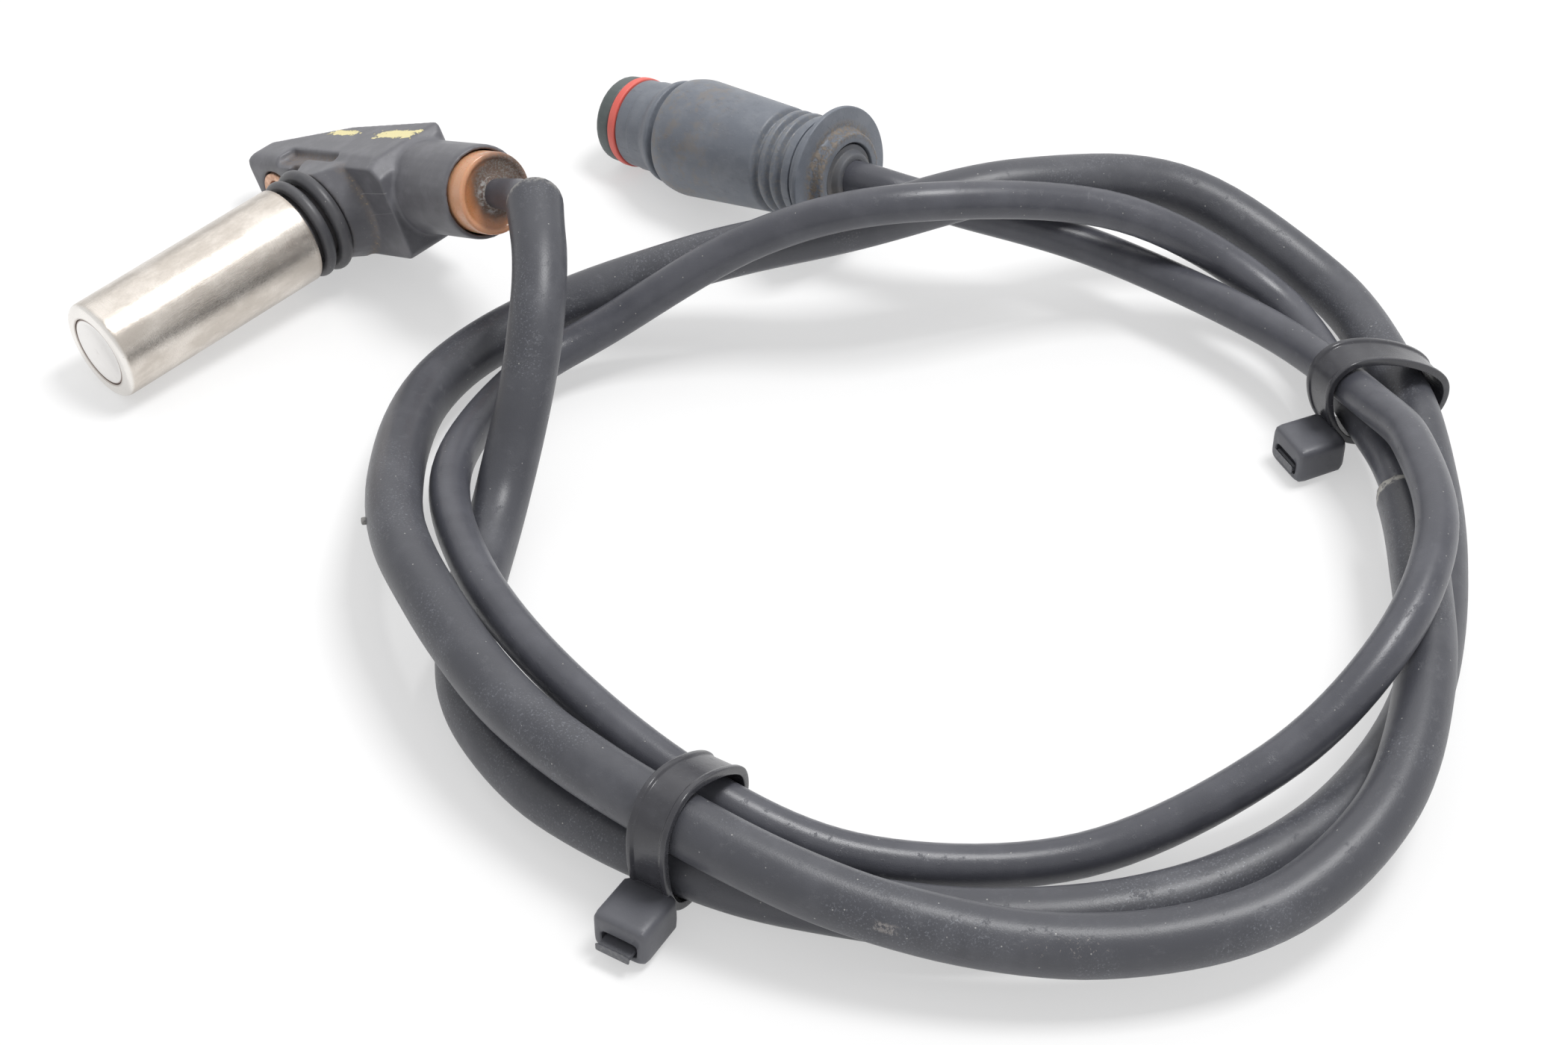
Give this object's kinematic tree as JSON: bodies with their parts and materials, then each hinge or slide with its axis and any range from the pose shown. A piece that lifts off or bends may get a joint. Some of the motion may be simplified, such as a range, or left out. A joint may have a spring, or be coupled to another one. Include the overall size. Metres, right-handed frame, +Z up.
{
  "type": "camshaft position sensor",
  "caption": "Camshaft position sensor with a steel barrel, moulded housing and mounting ear, and a sleeved cable that lies in a tied bundle and ends in a round plug",
  "frame": {"origin": "on the floor, below the middle of the sensor without its cord", "axes": "+X along the barrel towards its tip, +Y towards the bundle of the cable, +Z up"},
  "size_m": [0.1943, 0.2508, 0.0381],
  "materials": {
    "can_steel": "satin, warm tint, fine scratches",
    "dark_steel": "dull, with a fine brown ring",
    "magnet_alloy": "dull grey",
    "bobbin_plastic": "pale",
    "coil_wire": "enamelled copper",
    "ring_rubber": "satin black",
    "housing_plastic": "matte charcoal, dusty",
    "bushing_copper": "dull copper colour",
    "potting_resin": "amber, brown towards the cable",
    "contact_brass": "bright",
    "nose_plastic": "dark green grey",
    "seal_red": "satin red",
    "plug_plastic": "blue grey, satin, dusty",
    "cable_jacket": "satin black",
    "sleeve_rubber": "matte black with pale scuffs",
    "tie_nylon": "glossy black"
  },
  "bodies": {
    "root": {"sensor_can": "can_steel", "pole_cap": "dark_steel", "pole_pin": "dark_steel", "magnet": "magnet_alloy", "coil_bobbin": "bobbin_plastic", "coil_winding": "coil_wire", "front_o_ring": "ring_rubber", "rear_o_ring": "ring_rubber", "housing": "housing_plastic", "mounting_bushing": "bushing_copper", "potting_plug": "potting_resin", "lead_pin_1": "contact_brass", "lead_pin_2": "contact_brass", "contact_1": "contact_brass", "contact_2": "contact_brass", "contact_3": "contact_brass", "nose_insulator": "nose_plastic", "red_seal_ring": "seal_red", "plug_shell": "plug_plastic", "rear_flange": "plug_plastic", "cable_grommet": "ring_rubber", "signal_cable": "cable_jacket", "rubber_sleeve": "sleeve_rubber", "front_cable_tie": "tie_nylon", "right_cable_tie": "tie_nylon"}
  },
  "joints": []
}
